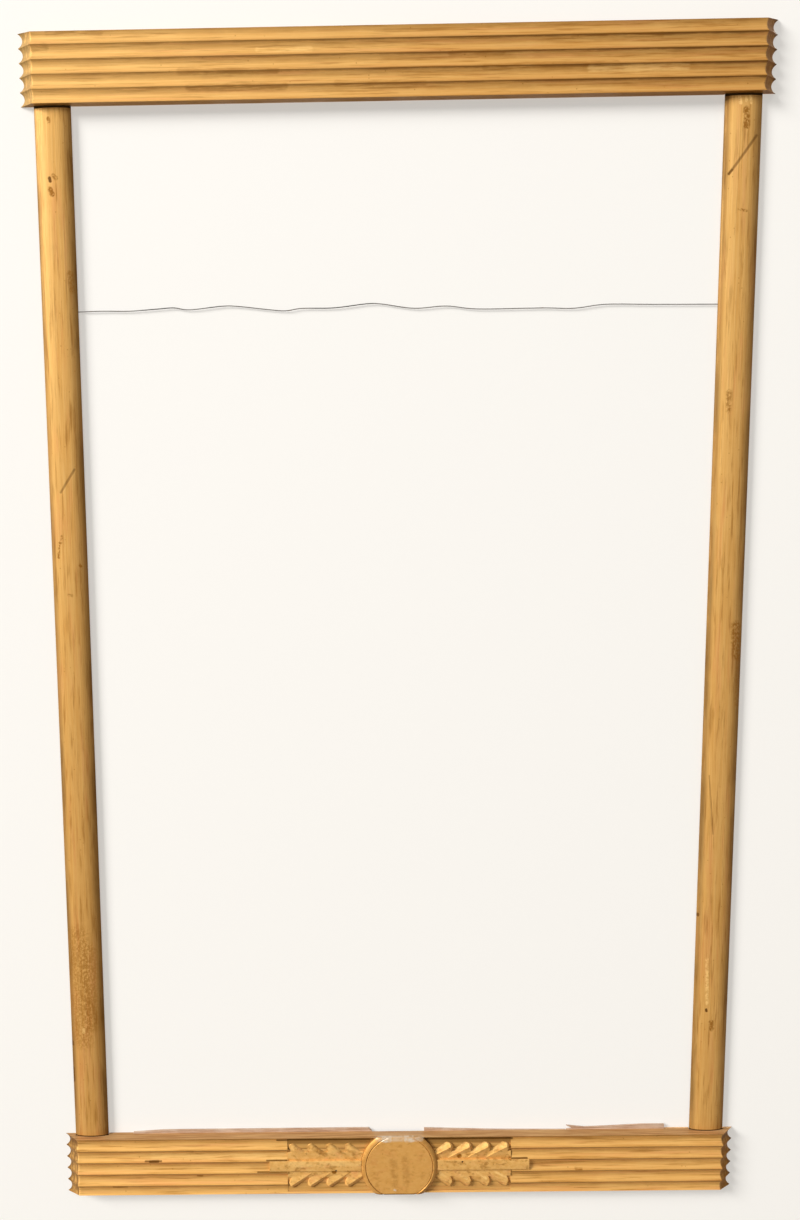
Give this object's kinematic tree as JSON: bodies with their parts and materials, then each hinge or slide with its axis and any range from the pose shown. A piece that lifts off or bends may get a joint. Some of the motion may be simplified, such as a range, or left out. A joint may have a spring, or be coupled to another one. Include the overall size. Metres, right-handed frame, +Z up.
{
  "type": "advertising display frame",
  "caption": "Gilt wooden wall display frame with fluted top and bottom rails, half-round side posts, a plain central medallion between leaf sprays, and a hanging wire across the opening.",
  "frame": {"origin": "middle of the header rail's back face, which lies flat against the wall", "axes": "+Z up, +X to the right seen from the front, the front faces -Y and the wall is on the +Y side"},
  "size_m": [0.875, 0.02, 1.446],
  "materials": {
    "gilt_rail": "aged gold paint, satin, worn along the arrises and dark in the flutes",
    "gilt_post": "aged gold paint, satin, streaked along the length and scratched",
    "gilt_medallion": "aged gold paint, dull, chipped at the top edge",
    "gilt_spray": "aged gold paint over a moulded relief, dark in the hollows",
    "bare_wood": "bare broken wood, weathered",
    "wire_steel": "dull grey drawn wire",
    "nail_steel": "dark, slightly rusted"
  },
  "bodies": {
    "root": {"header_rail": "gilt_rail", "bottom_rail": "gilt_rail", "left_post": "gilt_post", "right_post": "gilt_post", "medallion": "gilt_medallion", "medallion_peg": "bare_wood", "left_spray": "gilt_spray", "right_spray": "gilt_spray", "left_spray_brad": "nail_steel", "right_spray_brad": "nail_steel", "left_back_lip": "bare_wood", "right_back_lip": "bare_wood", "back_lip_sliver": "bare_wood", "left_lip_brads": "nail_steel", "right_lip_brads": "nail_steel", "sliver_brads": "nail_steel", "top_left_nails": "nail_steel", "top_right_nails": "nail_steel", "bottom_left_nails": "nail_steel", "bottom_right_nails": "nail_steel", "hanging_wire": "wire_steel", "left_staple": "nail_steel", "right_staple": "nail_steel"}
  },
  "joints": []
}
